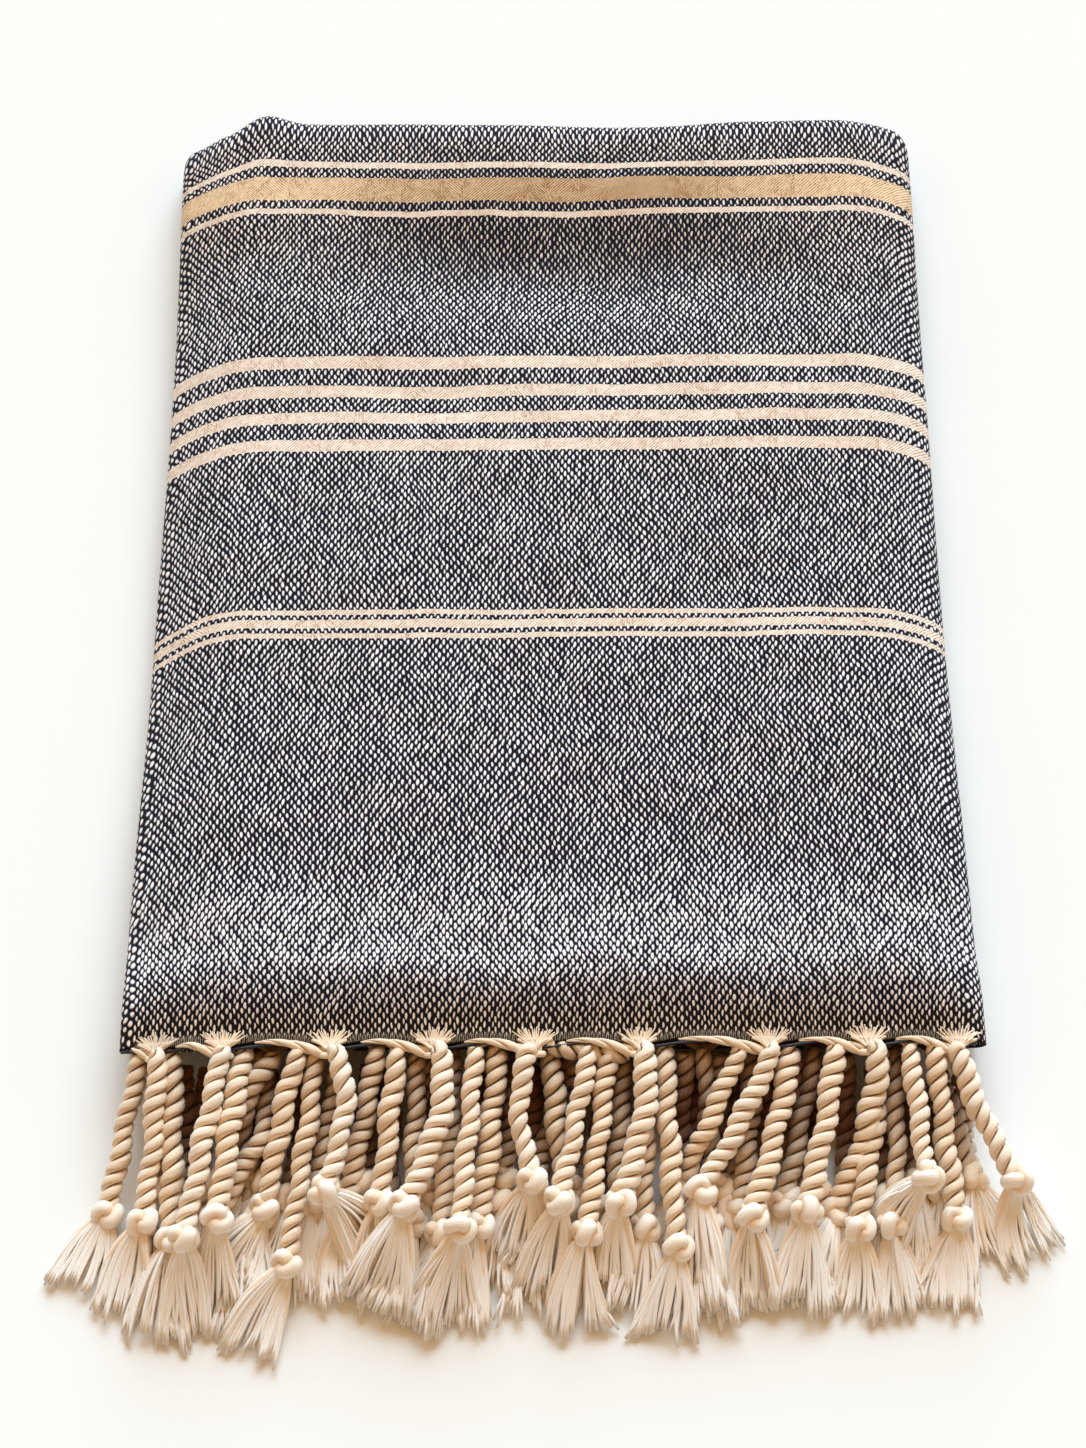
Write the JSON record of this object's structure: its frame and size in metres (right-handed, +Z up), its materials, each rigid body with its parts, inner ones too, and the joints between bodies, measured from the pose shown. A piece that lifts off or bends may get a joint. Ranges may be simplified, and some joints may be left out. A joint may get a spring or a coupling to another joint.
{
  "type": "hammam towel",
  "caption": "Striped flat-woven bath towel folded into a thick flat stack, with twisted, knotted and tasselled cords along the folded hems.",
  "frame": {"origin": "middle of the folded stack's flat underside, on the surface it lies on", "axes": "+Z up through the folded layers, +Y from the fringed hems to the last fold, +X to the right seen from the fringe"},
  "size_m": [0.3898, 0.5772, 0.0384],
  "materials": {
    "navy_and_cream_weave": "matt woven cotton, pale floats on a navy ground with cream and beige cross stripes",
    "cream_cord_1": "matt twisted cotton yarn",
    "cream_cord_2": "matt twisted cotton yarn",
    "cream_cord_3": "matt twisted cotton yarn",
    "cream_cord_4": "matt twisted cotton yarn",
    "cream_cord_5": "matt twisted cotton yarn",
    "cream_cord_6": "matt twisted cotton yarn"
  },
  "bodies": {
    "root": {"towel_cloth": "navy_and_cream_weave", "fringe_row_1": "cream_cord_1", "fringe_row_2": "cream_cord_2", "fringe_row_3": "cream_cord_3", "fringe_row_4": "cream_cord_4", "fringe_row_5": "cream_cord_5", "fringe_row_6": "cream_cord_6"}
  },
  "joints": []
}
